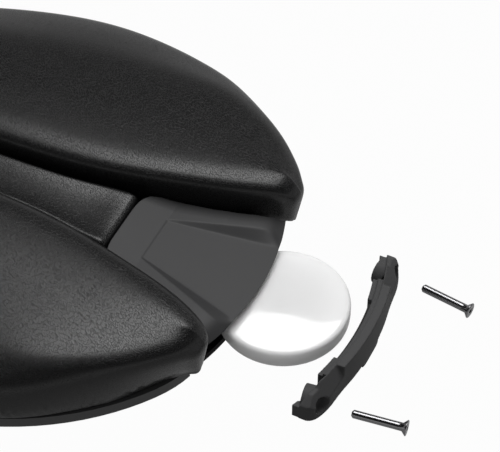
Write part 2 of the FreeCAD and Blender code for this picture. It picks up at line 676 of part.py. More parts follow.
def flank_tool():
    """Ring about the lip's centre that cuts the cap's top down outwards, beside the panel."""
    inner, outer = dim("cap_inner"), dim("cap_radius") + 1.5
    top, reach = rise(dim("cap_crest")), rise(6)
    low = top - dim("flank_fall") * (outer - inner) / (dim("cap_radius") - inner)
    corners = [Vector(r, 0, z) for r, z in ((inner, top), (outer, low), (outer, reach), (inner, reach))]
    section = Part.Face(Part.makePolygon(corners + corners[:1]))
    ring = doc.addObject("Part::Feature", "flank_ring")
    ring.Shape = section.revolve(Vector(0, 0, 0), Vector(0, 0, 1), 360)
    ring.Placement = Placement(Vector(lip_centre(), 0, 0), Rotation())
    x, z = (fore(-12), fore(12)), (rise(-12), rise(8))
    sides = [block("flank_left", x, (FLANK_START, 40), z), block("flank_right", x, (-40, -FLANK_START), z)]
    return boolean("Common", "flank_cut", ring, fuse("flank_sides", sides))


def rear_cap():
    """Curved cap that closes the bay: a wall behind the lip whose top carries on the panel and falls
    away outwards beside it, a flange and two tabs that go under the lip, a thumb tab, and a boss
    with a countersunk hole at each end."""
    body = new_body("rear_cap")
    plan = sketch_on(body, "cap_outline", "XY_Plane", "z", "dims.lip_height + dims.cap_bottom")
    draw(plan, cap_plan())
    extrude(body, "Pad", "cap_wall", plan, "dims.cap_crest - dims.cap_bottom")

    over = rise(dim("cap_crest") + 5)
    half_line = [(y, rise(z)) for y, z in CAP_TOP_LINE]
    line = [(-y, z) for y, z in reversed(half_line)] + half_line
    top = sketch_on(body, "cap_top_line", "YZ_Plane")
    top.AttachmentOffset = Placement(Vector(0, 0, fore(0)), Rotation())
    draw(top, polygon(line + [(line[-1][0], over), (line[0][0], over)]))
    extrude(body, "Pocket", "cap_top", top, "40", both=True)

    low = "dims.lip_height + dims.cap_bottom"
    inner, flange_inner = dim("cap_inner") + 0.2, dim("flange_inner")
    flange = sketch_on(body, "flange_plan", "XY_Plane", "z", low)
    draw(flange, ring_sector(flange_inner, inner, TAB_SIDES[1], -TAB_SIDES[1]))
    extrude(body, "Pad", "flange", flange, "dims.flange_top - dims.cap_bottom")
    thumb = sketch_on(body, "thumb_plan", "XY_Plane", "z", low + " + 0.3")
    draw(thumb, ring_sector(inner + 0.5, dim("cap_radius") - 0.1, THUMB_TAB_HALF, -THUMB_TAB_HALF))
    extrude(body, "Pad", "thumb_tab", thumb, "dims.thumb_tab_drop + 0.3", reverse=True)
    for side, word in ((LEFT, "left"), (RIGHT, "right")):
        end = sketch_on(body, "end_plan_" + word, "XY_Plane", "z", low)
        draw(end, ring_sector(flange_inner - 0.3, inner, side * (TAB_SIDES[1] - 0.3), side * 24.9))
        extrude(body, "Pad", "end_flange_" + word, end, "dims.end_flange_top - dims.cap_bottom")
        tab = sketch_on(body, "tab_plan_" + word, "XY_Plane", "z", "dims.lip_height + %g" % TAB_TOP)
        draw(tab, ring_sector(dim("tab_inner"), flange_inner + 0.2, side * TAB_SIDES[0],
                              side * TAB_SIDES[1]))
        extrude(body, "Pad", "tab_" + word, tab, "%g" % TAB_HEIGHT, reverse=True)

    bosses, tools = [], [flank_tool()]
    for side, word in ((LEFT, "left"), (RIGHT, "right")):
        head, way = screw_axis(side)
        middle = head - Vector(0, side * dim("boss_shift"), 0)
        bosses.append(rod("cap_boss_" + word, "dims.boss_radius", "%g" % CAP_BOSS_LENGTH,
                          middle + way * CAP_BOSS_START, way))
        tools.append(rod("cap_hole_" + word, "dims.screw_radius + 0.15", "12", head - way * 3, way))
        tools.append(rod("cap_sink_" + word, "dims.head_radius + 0.15", "3.37", head - way * 3, way))
        cone = doc.addObject("Part::Cone", "cap_cone_" + word)
        cone.setExpression("Radius1", "dims.head_radius + 0.15")
        cone.setExpression("Radius2", "dims.screw_radius + 0.15")
        cone.setExpression("Height", "dims.head_radius - dims.screw_radius")
        cone.Placement = Placement(head + way * 0.35, Rotation(Vector(0, 0, 1), way))
        tools.append(cone)
    whole = boolean("Cut", "cap_cut", fuse("cap_whole", [body] + bosses), fuse("cap_holes", tools))
    whole.setExpression("Placement.Base.x", "-dims.cap_travel")
    publish("rear_cap", whole)


def cap_seal():
    """Rubber strip on the flange's inner face, between the tabs, that keeps road spray out."""
    flange_inner = dim("flange_inner")
    body = new_body("cap_seal")
    plan = sketch_on(body, "seal_outline", "XY_Plane", "z", "dims.lip_height + dims.cap_bottom + 0.6")
    draw(plan, ring_sector(flange_inner - 0.8, flange_inner, 9.0, -9.0))
    extrude(body, "Pad", "seal_strip", plan, "4.4")
    body.setExpression("Placement.Base.x", "-dims.cap_travel")
    publish("cap_seal", body)


def turned_disc(name, profile):
    """Body turned about the tag's vertical axis from a closed outline of radius and height."""
    body = new_body(name)
    outline = sketch_on(body, name + "_outline", "XZ_Plane")
    draw(outline, profile)
    turned = body.newObject("PartDesign::Revolution", name + "_turned")
    turned.Profile = outline
    turned.ReferenceAxis = (outline, ["V_Axis"])
    turned.Angle = 360
    body.Tip = turned
    body.setExpression("Placement.Base.x", "dims.tail_x + dims.pocket_fore - dims.tag_travel")
    body.setExpression("Placement.Base.z", "dims.lip_height + dims.tag_rise")
    doc.recompute()
    return publish(name, body)


def tracking_tag():
    """Coin-shaped tag: white domed shell, steel battery cover, coin cell, board and sounder."""
    edge, half = dim("tag_radius"), dim("tag_thickness") / 2
    wall = 1.1
    rim = half - 4.6
    dome = spline([(0, half), (8, half - 0.25), (13.2, half - 1.5), (15.4, half - 3.2), (edge, rim)])
    under = spline([(edge, rim), (15.3, half - 6.0), (13.6, half - 6.9)])
    cavity = spline([(0, half - wall), (8, half - wall - 0.25), (12.6, half - wall - 1.5),
                     (14.3, half - 4.4)])
    turned_disc("tag_shell", [dome, under, segment((13.6, half - 6.9), (13.6, half - 5.4)),
                              segment((13.6, half - 5.4), (14.3, half - 4.4)), cavity,
                              segment((0, half - wall), (0, half))])
    low = -half
    turned_disc("tag_battery_cover", polygon([(0, low), (11.2, low), (13.3, low + 0.7), (13.3, low + 1.1),
                                              (11.0, low + 0.6), (0, low + 0.6)]))
    for name, radius, under_face, over_face in (("tag_battery", 10, low + 0.7, low + 3.9),
                                                ("tag_board", 12.4, low + 4.0, low + 4.8),
                                                ("tag_sounder", 5.2, low + 4.9, half - wall - 0.3)):
        turned_disc(name, polygon([(0, under_face), (radius, under_face), (radius, over_face),
                                   (0, over_face)]))


def screw_group(label, places, clamped):
    """Identical pan-head screws driven upwards through a piece of the clamped thickness."""
    screws = []
    for k, (x, y, seat) in enumerate(places):
        name, up = "%s_%d" % (label, k), (0, 0, 1)
        under_head = (x, y, seat - dim("tapping_head_height"))
        shank = rod(name + "_shank", "dims.tapping_radius", "%g + 2.4" % clamped, (x, y, seat), up)
        head = rod(name + "_head", "dims.tapping_head_radius", "dims.tapping_head_height", under_head, up)
        drive = rod(name + "_drive", "dims.drive_radius", "dims.drive_depth", under_head, up)
        screws.append(boolean("Cut", name, fuse(name + "_solid", [shank, head]), drive))
    group = doc.addObject("Part::Compound", label + "_group")
    group.Links = screws
    publish(label, group)


def fixings():
    """Self-tapping screws that hold the sockets and the tray to the base shell."""
    under = dim("plate_top") - dim("plate_thickness")
    both_sides = [(x, s * y, under - 2.5) for x, y in SOCKET_SCREWS for s in (LEFT, RIGHT)]
    screw_group("socket_screws", both_sides, 2.5)
    screw_group("tray_screws", [(x, s * y, under - 2.0) for x, y in TRAY_SCREWS for s in (LEFT, RIGHT)], 2.0)
    screw_group("front_socket_screw", [(FRONT_SCREW_X, 0, under - FRONT_BLOCK)], FRONT_BLOCK)


def main():
    base_shell()
    pocket_tray()
    rear_housing()
    bay_pad()
    cushions(centre_strip())
    rail_sockets(rails())
    fixings()
    cap_screws()
    inserts()
    rear_cap()
    cap_seal()
    tracking_tag()
    doc.recompute()
    write_nodes()


def write_nodes():
    """Stop on anything that failed, then write each sub-part to its own STEP file."""
    for thing in doc.Objects:
        if {"Invalid", "Error"} & set(thing.State):
            raise RuntimeError("%s (%s) failed: %s" % (thing.Name, thing.Label, thing.State))
    for label, thing in nodes.items():
        if thing.Shape.isNull() or not thing.Shape.isValid() or not thing.Shape.Solids:
            raise RuntimeError("%s has no valid solid" % label)
    os.makedirs("parts", exist_ok=True)
    for label, thing in nodes.items():
        thing.Shape.exportStep("parts/%s.step" % label)
        box = thing.Shape.BoundBox
        print("%-22s %9.1f mm3  x %7.1f..%7.1f  y %6.1f..%6.1f  z %6.1f..%6.1f  solids %d" % (
            label, thing.Shape.Volume, box.XMin, box.XMax, box.YMin, box.YMax, box.ZMin, box.ZMax,
            len(thing.Shape.Solids)))


main()
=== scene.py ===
"""Bicycle saddle with a tracking tag in its tail, opened for a change of battery.

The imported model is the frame.  Places along the saddle are given from the corners of the tail lip
towards the nose, and heights from the lip's top, both in millimetres.
"""
import math

import bmesh
import bpy
import numpy as np
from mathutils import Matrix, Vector


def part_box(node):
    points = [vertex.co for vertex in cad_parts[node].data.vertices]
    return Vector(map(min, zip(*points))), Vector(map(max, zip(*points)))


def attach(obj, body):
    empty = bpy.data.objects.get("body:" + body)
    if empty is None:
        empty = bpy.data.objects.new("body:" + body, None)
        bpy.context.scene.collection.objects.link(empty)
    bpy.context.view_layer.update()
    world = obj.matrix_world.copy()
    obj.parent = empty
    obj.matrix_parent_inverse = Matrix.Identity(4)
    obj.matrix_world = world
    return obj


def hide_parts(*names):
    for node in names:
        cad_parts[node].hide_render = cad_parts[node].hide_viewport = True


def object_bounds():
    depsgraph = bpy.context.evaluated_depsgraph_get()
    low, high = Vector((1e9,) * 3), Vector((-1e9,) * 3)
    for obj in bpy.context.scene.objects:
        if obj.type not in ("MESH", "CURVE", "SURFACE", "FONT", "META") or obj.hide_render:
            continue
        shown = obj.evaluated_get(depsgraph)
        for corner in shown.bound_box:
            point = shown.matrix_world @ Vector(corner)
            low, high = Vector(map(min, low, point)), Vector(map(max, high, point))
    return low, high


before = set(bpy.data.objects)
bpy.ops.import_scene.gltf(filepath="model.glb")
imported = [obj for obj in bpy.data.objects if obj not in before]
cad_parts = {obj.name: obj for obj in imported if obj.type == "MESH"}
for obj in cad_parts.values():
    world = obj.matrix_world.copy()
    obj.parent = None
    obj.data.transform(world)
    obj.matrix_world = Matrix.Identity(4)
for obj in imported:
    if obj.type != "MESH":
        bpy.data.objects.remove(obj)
cad_box = [list(corner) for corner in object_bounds()]


# Studio ---------------------------------------------------------------------------------------
# A plain pale floor and backdrop under one large soft lamp.  The background is white because of
# its colour for camera, glossy and transmission rays, not because of more light on the saddle;
# overhead, polished parts see the room's dim ceiling.
MM = 0.001
LIP_BULGE = 3.5
ROOF_RISE = -1.6
tail_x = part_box("rear_housing")[0].x / MM + LIP_BULGE
lip_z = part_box("rear_housing")[0].z / MM - ROOF_RISE


def place(points):
    """Row-frame metres of points given as fore, side and rise in millimetres."""
    return (np.asarray(points, float) + (tail_x, 0.0, lip_z)) * MM


AIM = place((7.0, -15.6, 0.0))
VIEW_AZIMUTH, VIEW_ELEVATION = math.radians(205.9), math.radians(48.5)
VIEW_DISTANCE = 0.511
LENS = 153.5
FLOOR_DROP = 0.09
FLOOR_SIZE = 6.0
SKY_LEVEL, CEILING_LEVEL = 0.26, 0.02
BACKDROP_SHINE, FLOOR_SHINE, FLOOR_GLOW = 0.8, 0.3, 0.97
FLOOR_TONE = 0.35


def direction(azimuth, elevation):
    """Unit vector at an elevation above the horizon and an azimuth from the -Y axis towards +X."""
    level = math.cos(elevation)
    return Vector((math.sin(azimuth) * level, -math.cos(azimuth) * level, math.sin(elevation)))


toward_camera = direction(VIEW_AZIMUTH, VIEW_ELEVATION)
camera = bpy.data.objects.new("camera", bpy.data.cameras.new("camera"))
camera.data.lens = LENS
camera.data.clip_end = 20.0
camera.location = Vector(AIM) + toward_camera * VIEW_DISTANCE
camera.rotation_euler = toward_camera.to_track_quat("Z", "Y").to_euler()
bpy.context.scene.collection.objects.link(camera)
bpy.context.scene.camera = camera
bpy.context.scene.view_settings.view_transform = "Standard"


def add_node(tree, kind, settings=None, **inputs):
    """New shader node; settings are its own fields, inputs are values or sockets to link."""
    node = tree.nodes.new(kind)
    for field, value in (settings or {}).items():
        setattr(node, field, value)
    for name, value in inputs.items():
        key = int(name[1:]) if name[1:].isdigit() else name.replace("_", " ")
        socket = node.inputs[key]
        if isinstance(value, bpy.types.NodeSocket):
            tree.links.new(value, socket)
        else:
            socket.default_value = value
    return node


def combine(tree, operation, first, second):
    """Output of a math node on two values or sockets."""
    node = add_node(tree, "ShaderNodeMath", {"operation": operation}, _0=first, _1=second)
    return node.outputs[0]


def background_ray(tree, shine):
    """1 for rays that should see the white background, from the camera or through glass, and a
    reflection's share for glossy rays."""
    path = add_node(tree, "ShaderNodeLightPath").outputs
    glossy = combine(tree, "MULTIPLY", path["Is Glossy Ray"], shine)
    seen = combine(tree, "MAXIMUM", path["Is Camera Ray"], glossy)
    return combine(tree, "MAXIMUM", seen, path["Is Transmission Ray"])


world = bpy.data.worlds.new("studio")
bpy.context.scene.world = world
world.use_nodes = True
sky = world.node_tree
sky.nodes.clear()
way = add_node(sky, "ShaderNodeTexCoord").outputs["Generated"]
height = add_node(sky, "ShaderNodeSeparateXYZ", _0=way)
backdrop = add_node(sky, "ShaderNodeMapRange", {"interpolation_type": "SMOOTHSTEP"},
                    Value=height.outputs["Z"], From_Min=0.2, From_Max=0.5, To_Min=BACKDROP_SHINE,
                    To_Max=0.0)
glossy = add_node(sky, "ShaderNodeLightPath").outputs["Is Glossy Ray"]
room = add_node(sky, "ShaderNodeMapRange", Value=glossy, To_Min=SKY_LEVEL, To_Max=CEILING_LEVEL)
plain = add_node(sky, "ShaderNodeBackground", Color=(1, 1, 1, 1), Strength=room.outputs[0])
white = add_node(sky, "ShaderNodeBackground", Color=(1, 1, 1, 1), Strength=1.0)
seen = add_node(sky, "ShaderNodeMixShader", Fac=background_ray(sky, backdrop.outputs[0]),
                _1=plain.outputs[0], _2=white.outputs[0])
add_node(sky, "ShaderNodeOutputWorld", Surface=seen.outputs[0])

floor_paint = bpy.data.materials.new("studio_floor")
floor_paint.use_nodes = True
tree = floor_paint.node_tree
tree.nodes.clear()
matt = add_node(tree, "ShaderNodeBsdfDiffuse", Color=[FLOOR_TONE] * 3 + [1])
glow = add_node(tree, "ShaderNodeEmission", Color=(1, 1, 1, 1), Strength=1.0)
share = combine(tree, "MULTIPLY", background_ray(tree, FLOOR_SHINE), FLOOR_GLOW)
both = add_node(tree, "ShaderNodeMixShader", Fac=share, _1=matt.outputs[0], _2=glow.outputs[0])
add_node(tree, "ShaderNodeOutputMaterial", Surface=both.outputs[0])

floor_z = cad_box[0][2] - FLOOR_DROP
corner = FLOOR_SIZE / 2
floor_mesh = bpy.data.meshes.new("studio_floor")
floor_mesh.from_pydata([(-corner, -corner, floor_z), (corner, -corner, floor_z),
                        (corner, corner, floor_z), (-corner, corner, floor_z)], [], [(0, 1, 2, 3)])
floor_mesh.materials.append(floor_paint)
floor = bpy.data.objects.new("studio_floor", floor_mesh)
bpy.context.scene.collection.objects.link(floor)


def softbox(name, azimuth, elevation, distance, width, height, power):
    """Rectangular soft lamp that faces the tail from an azimuth and an elevation in degrees."""
    away = direction(math.radians(azimuth), math.radians(elevation))
    light = bpy.data.lights.new(name, "AREA")
    light.shape = "RECTANGLE"
    light.size, light.size_y = width, height
    light.energy = power
    thing = bpy.data.objects.new(name, light)
    thing.location = Vector(place((20.0, 0.0, 0.0))) + away * distance
    thing.rotation_euler = away.to_track_quat("Z", "Y").to_euler()
    bpy.context.scene.collection.objects.link(thing)


softbox("overhead", azimuth=13.0, elevation=72.0, distance=0.80, width=0.58, height=0.49,
        power=6.0)


# Cushions -------------------------------------------------------------------------------------
# Two padded lobes of foam in fitted covers of grained synthetic leather.  Each rises from the
# groove beside the centre strip over a rounded ridge, falls gently to its outer shoulder, and is
# gathered into a puckered seam just above the shell's rim.
FOOT = -5.0
# fore, inner and outer half width at the foot, inward lean of the inner and of the outer side,
# height of the ridge and of the groove's floor, bulge of the outer side at half height
CUSHION_STATIONS = np.array([
    (-0.9, 22.0, 27.2, 1.6, 0.0, 7.4, 3.2, 2.4),
    (1.2, 21.0, 29.0, 2.2, 0.2, 9.4, 3.3, 3.4),
    (4, 19.6, 31.4, 2.6, 0.4, 10.4, 3.4, 4.0),
    (12, 16.3, 41.6, 2.8, 1.4, 10.9, 3.6, 2.0),
    (28, 12.4, 55.1, 3.0, 5.2, 10.8, 4.0, 0.8),
    (40, 9.6, 60.2, 3.0, 9.0, 10.7, 4.2, 0.2),
    (55, 7.8, 63.8, 3.2, 12.4, 10.6, 4.3, 0.0),
    (75, 6.9, 64.3, 3.4, 14.2, 10.6, 4.3, 0.0),
    (105, 6.9, 54.8, 3.6, 11.8, 10.2, 3.6, 0.0),
    (140, 6.9, 36.6, 3.6, 7.0, 8.0, 2.2, 0.0),
    (185, 6.9, 22.2, 3.2, 4.2, 5.9, 1.6, 0.0),
    (216, 8.2, 18.8, 2.6, 2.5, 5.4, 1.6, 0.0),
    (232, 13.4, 17.4, 1.0, 1.0, 4.4, 1.6, 0.0)])
# At the tail and at the nose: fore and side of the tip, and the share of the width left beside it
CUSHION_ENDS = ((-2.5, 25.8, 0.6), (237.5, 16.4, 0.7))
DRAWN_RISE, TIP_RISE, TIP_FOOT = 0.78, 0.35, 0.8
# The tail leans forward by this slope below this rise, less and less over this length
TAIL_UNDERCUT, UNDERCUT_TOP, UNDERCUT_LENGTH = 0.17, 8.0, 14.0
# The section's control points: share of the inner lean, share of the outer lean, share of the
# width between the two sides, share of the ridge's height above the groove, a rise that is used
# where that share is missing, and share of the outer bulge
SECTION = [
    (0, 0, 0, None, FOOT, 0), (0, 0, 0, None, 0.0, 0), (-0.05, 0, 0, 0.0, 0, 0),
    (-0.1, 0, 0, 0.45, 0, 0), (0.15, 0, 0, 0.85, 0, 0), (1.0, 0, 0, 1.0, 0, 0),
    (2.2, 0, 0, 1.06, 0, 0), (1.9, 0, 0.25, 1.04, 0, 0), (0, 1.9, 0.72, 0.97, 0, 0),
    (0, 1.55, 1, 0.82, 0, 0.4), (0, 0.95, 1, 0.5, 0, 1.0), (0, 0.3, 1, 0.08, 0, 0.9),
    (0, 0.0, 1, None, -1.2, 0.5), (0, -0.02, 1, None, -3.6, 0), (0, 0.0, 1, None, -4.4, 0),
    (0, 0.1, 0.985, None, FOOT, 0), (0, 0, 0.5, None, FOOT, 0), (0, 0, 0, None, FOOT, 0)]
ALONG, ACROSS = 300, 120
MERGE_DISTANCE = 0.004
# Gathers of the cover just above the rim: their spacing and depth, how their spacing drifts and
# their depth varies, the seam's rise and width, and the sides where they begin and are full
PUCKER_LENGTH, PUCKER_DEPTH = 1.9, 0.42
DRIFT, DRIFT_RATE = 1.3, 0.31
VARIATION, VARIATION_RATE = 0.4, 0.83
SEAM_RISE, SEAM_WIDTH = -2.3, 1.1
SEAM_START, SEAM_FULL = 30.0, 42.0
# What the cushions' undersides clear: the closed cap's top, by side and rise, the screw bosses
# of the tray, and the roof of the bay
CAP_TOP = np.array([(19.4, -0.7), (20.3, -1.7), (22.5, -2.0), (25.6, -4.2), (26.4, FOOT)])
BOSS_START, BOSS_END, BOSS_SIDE, BOSS_TOP = 6.6, 18.2, 28.9, -1.9
ROOF_END, ROOF_SIDE, ROOF_TOP = 37.0, 19.2, 0.4


def cubic_basis(controls, samples):
    """Weights of a clamped cubic B-spline, one row per sample: from steps between the knots, each
    degree blends two neighbours of the last by how far the sample is through their spans."""
    knots = np.r_[[0.0] * 3, np.linspace(0, 1, controls - 2), [1.0] * 3]
    at = np.minimum(np.linspace(0, 1, samples)[:, None], 1 - 1e-12)
    weights = ((knots[:-1] <= at) & (at < knots[1:])).astype(float)
    for degree in range(1, 4):
        rise_span = knots[degree:-1] - knots[:-degree - 1]
        fall_span = knots[degree + 1:] - knots[1:-degree]
        up = np.divide(at - knots[:-degree - 1], rise_span,
                       out=np.zeros((samples, rise_span.size)), where=rise_span > 0)
        down = np.divide(knots[degree + 1:] - at, fall_span,
                         out=np.zeros((samples, fall_span.size)), where=fall_span > 0)
        weights = up * weights[:, :-1] + down * weights[:, 1:]
    return weights


def smooth_net(net, along, across):
    """Grid of points on the cubic B-spline surface of a net of control points."""
    net = np.asarray(net, float)
    return np.einsum("ai,ijk,bj->abk", cubic_basis(net.shape[0], along), net,
                     cubic_basis(net.shape[1], across))


def quads_between(index):
    """Corners of the quads between the neighbours of a grid of point numbers."""
    corners = [index[:-1, :-1], index[:-1, 1:], index[1:, 1:], index[1:, :-1]]
    return np.stack(corners, -1).reshape(-1, 4)


def skin(name, grid, material, wrap=False, mirror=False):
    """Closed mesh of a grid given in saddle millimetres: neighbours joined by quads, round to the
    first column again if it wraps."""
    grid = np.asarray(grid, float)
    if mirror:
        grid = grid * (1, -1, 1)
    rows, columns = grid.shape[:2]
    index = np.arange(rows * columns).reshape(rows, columns)
    if wrap:
        index = np.c_[index, index[:, :1]]
    quads = quads_between(index)
    mesh = bpy.data.meshes.new(name)
    mesh.from_pydata(place(grid.reshape(-1, 3)).tolist(), [], quads.tolist())
    return finish_mesh(name, mesh, material)


def finish_mesh(name, mesh, material):
    """Merge a mesh's equal points, close its open edges, turn its faces out and link its object."""
    work = bmesh.new()
    work.from_mesh(mesh)
    bmesh.ops.remove_doubles(work, verts=work.verts, dist=MERGE_DISTANCE * MM)
    bmesh.ops.holes_fill(work, edges=[e for e in work.edges if e.is_boundary], sides=0)
    bmesh.ops.recalc_face_normals(work, faces=work.faces)
    for face in work.faces:
        face.smooth = True
    work.to_mesh(mesh)
    work.free()
    mesh.materials.append(material)
    thing = bpy.data.objects.new(name, mesh)
    bpy.context.scene.collection.objects.link(thing)
    return thing


def floor_under_cushion(x, y):
    """Lowest rise of a cushion: the cap's top up to the bosses, the bosses' top over them, the
    bay's roof beside the middle, and the foot everywhere else."""
    side = np.abs(y)
    low = np.where(x < BOSS_START, np.interp(side, CAP_TOP[:, 0], CAP_TOP[:, 1]), FOOT)
    low = np.where((x >= BOSS_START) & (x < BOSS_END) & (side < BOSS_SIDE), BOSS_TOP, low)
    return np.where((x < ROOF_END) & (side < ROOF_SIDE), ROOF_TOP, low)


def cushion_grid():
    """Left cushion: at each station the section's control points are a side, moved in by its share
    of that side's lean, and a rise between the groove's floor and the ridge.  Two more sections
    draw each end together to a rounded tip, and a B-spline surface goes through the whole net.
    Its tail leans forward lower down, and the seam gathers in a sine wave of varying strength."""
    share = np.array([[v if v is not None else np.nan for v in row] for row in SECTION], float)
    lean_in, lean_out, width, height, fixed, swell = share.T
    rows = []
    for x, inner, outer, lean0, lean1, ridge, groove, bulge in CUSHION_STATIONS:
        left = inner + lean_in * lean0
        right = outer - lean_out * lean1
        side = left + (right - left) * width + swell * bulge
        z = np.where(np.isnan(height), fixed, groove + (ridge - groove) * np.nan_to_num(height))
        rows.append(np.c_[np.full(len(SECTION), x), side, z])
    ends = []
    for (x, side, squash), near in zip(CUSHION_ENDS, (rows[0], rows[-1])):
        drawn, tip = near.copy(), near.copy()
        raised = near[:, 2] > 0
        drawn[:, 0] = tip[:, 0] = x
        drawn[:, 1] = side + (near[:, 1] - side) * squash
        drawn[:, 2] = near[:, 2] * np.where(raised, DRAWN_RISE, 1.0)
        tip[:, 1] = side
        tip[:, 2] = near[:, 2] * np.where(raised, TIP_RISE, TIP_FOOT)
        ends.append((tip, drawn))
    net = np.array([ends[0][0], ends[0][1]] + rows + [ends[1][1], ends[1][0]])
    grid = smooth_net(net, ALONG, ACROSS)
    fore, side, rise = grid[..., 0], grid[..., 1], grid[..., 2]
    fore += (TAIL_UNDERCUT * np.clip(UNDERCUT_TOP - rise, 0, UNDERCUT_LENGTH)
             * np.clip(1 - fore / UNDERCUT_LENGTH, 0, 1))
    wander = DRIFT * np.sin(fore * DRIFT_RATE)
    strength = 1 - VARIATION + VARIATION * np.sin(fore * VARIATION_RATE)
    gathers = PUCKER_DEPTH * strength * np.sin(fore * 2 * math.pi / PUCKER_LENGTH + wander)
    begun = np.clip((side - SEAM_START) / (SEAM_FULL - SEAM_START), 0, 1)
    side += gathers * np.exp(-((rise - SEAM_RISE) / SEAM_WIDTH) ** 2) * begun
    grid[..., 2] = np.maximum(rise, floor_under_cushion(fore, side))
    return grid


GRAIN_TURN, GRAIN_STRETCH = math.radians(140), 3.4
GRAIN_DRIFT, GRAIN_DRIFT_SCALE = 0.0006, 260.0
# The crease colour share is painted shade: it darkens the creases' colour in place of the shade
# that falls in them.
CREASE_WIDTH, PAINTED_CREASE_SHADE, CREASE_DULLNESS = 0.09, 0.3, 0.16
CREASE_DEPTH, FINE_DEPTH, FINE_SCALE = 0.00003, 0.00005, 2600.0


def new_paint(name):
    """New material with its node tree, its main shader and the object's own coordinates."""
    paint = bpy.data.materials.new(name)
    paint.use_nodes = True
    tree = paint.node_tree
    where = add_node(tree, "ShaderNodeTexCoord").outputs["Object"]
    return paint, tree, tree.nodes["Principled BSDF"], where


def leather(name, base, roughness, grain=3000.0):
    """Synthetic leather: long pebbles parted by fine creases, from a stretched and warped cell
    pattern, with a finer grain on top; the creases are less shiny, and their colour is darkened
    as painted shade that stands in for the shade falling inside them."""
    paint, tree, shader, where = new_paint(name)
    stretch = add_node(tree, "ShaderNodeMapping", {"vector_type": "TEXTURE"}, Vector=where,
                       Rotation=(0, 0, GRAIN_TURN), Scale=(GRAIN_STRETCH, 1.0, 1.0))
    drift = add_node(tree, "ShaderNodeTexNoise", Vector=where, Scale=GRAIN_DRIFT_SCALE,
                     Detail=2.0)
    centred = add_node(tree, "ShaderNodeVectorMath", {"operation": "SUBTRACT"},
                       _0=drift.outputs["Color"], _1=(0.5, 0.5, 0.5))
    small = add_node(tree, "ShaderNodeVectorMath", {"operation": "SCALE"}, _0=centred.outputs[0],
                     Scale=GRAIN_DRIFT)
    warped = add_node(tree, "ShaderNodeVectorMath", {"operation": "ADD"}, _0=stretch.outputs[0],
                      _1=small.outputs[0])
    cells = add_node(tree, "ShaderNodeTexVoronoi", {"feature": "DISTANCE_TO_EDGE"},
                     Vector=warped.outputs[0], Scale=grain)
    pebble = add_node(tree, "ShaderNodeMapRange", {"interpolation_type": "SMOOTHSTEP"},
                      Value=cells.outputs["Distance"], From_Min=0.0, From_Max=CREASE_WIDTH)
    fine = add_node(tree, "ShaderNodeTexNoise", Vector=where, Scale=FINE_SCALE, Detail=3.0,
                    Roughness=0.6)
    # Painted shade: the creases' colour is darkened to a share of the base, standing in for the
    # shade inside the creases.
    tone = add_node(tree, "ShaderNodeMixRGB", Fac=pebble.outputs[0],
                    Color1=[c * PAINTED_CREASE_SHADE for c in base] + [1], Color2=list(base) + [1])
    shine = add_node(tree, "ShaderNodeMapRange", Value=pebble.outputs[0],
                     To_Min=roughness + CREASE_DULLNESS, To_Max=roughness)
    grainy = add_node(tree, "ShaderNodeBump", Height=fine.outputs["Fac"], Strength=0.2,
                      Distance=FINE_DEPTH)
    creased = add_node(tree, "ShaderNodeBump", Height=pebble.outputs[0], Strength=0.5,
                       Distance=CREASE_DEPTH, Normal=grainy.outputs[0])
    tree.links.new(tone.outputs[0], shader.inputs["Base Color"])
    tree.links.new(shine.outputs[0], shader.inputs["Roughness"])
    tree.links.new(creased.outputs[0], shader.inputs["Normal"])
    shader.inputs["Specular IOR Level"].default_value = 0.36
    return paint


cushion_leather = leather("cushion_leather", (0.006, 0.006, 0.0062), 0.27)
cushion = cushion_grid()
for side, mirror in (("left", False), ("right", True)):
    cover = skin("cushion_%s" % side, cushion, cushion_leather, mirror=mirror)
    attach(cover, "saddle")
    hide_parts("cover_%s" % side, "foam_%s" % side)


# Centre strip ---------------------------------------------------------------------------------
# Narrow padded strip in the valley between the cushions.  Its top is a shallow dish at the rear,
# where its rounded end stands a little proud of the housing, and a low crown further forward, and
# at the nose it flares to the saddle's full width.
# fore, half width, rise of the crown, rise of the edge where it starts to round down
STRIP_STATIONS = np.array([
    (33.9, 9.1, 4.5, 5.3), (34.9, 9.1, 5.0, 5.8), (37.0, 9.1, 5.1, 5.8), (42, 8.5, 4.9, 5.8),
    (50, 7.0, 5.2, 6.0), (62, 6.4, 5.4, 6.1), (90, 6.3, 5.6, 5.6), (120, 6.3, 4.9, 4.4),
    (150, 6.3, 3.8, 2.9), (190, 6.4, 3.3, 2.4), (212, 7.0, 3.7, 2.6), (226, 10.5, 4.1, 2.4),
    (237, 16.2, 4.0, 1.2), (248, 15.6, 3.0, 0.2), (258, 11.8, 1.2, -1.4), (265, 6.4, -1.4, -3.2)])
# Beyond the stations, fore and the shares of half width and height: the tail's face, its edge
# and the tip of the nose
STRIP_TAIL, STRIP_EDGE, STRIP_NOSE = (33.4, 0.85, 0.8), (33.35, 0.97, 0.96), (267.4, 0.5, 0.55)
# share of the half width and share of the way from the foot to the edge (0..1) and crown (1..2)
STRIP_SECTION = [
    (0, 0), (-0.9, 0), (-1, 0), (-1, 0.45), (-1.0, 0.82), (-0.93, 1.12), (-0.72, 1.7),
    (-0.3, 2.02), (0.3, 2.02), (0.72, 1.7), (0.93, 1.12), (1.0, 0.82), (1, 0.45), (1, 0),
    (0.9, 0), (0, 0)]


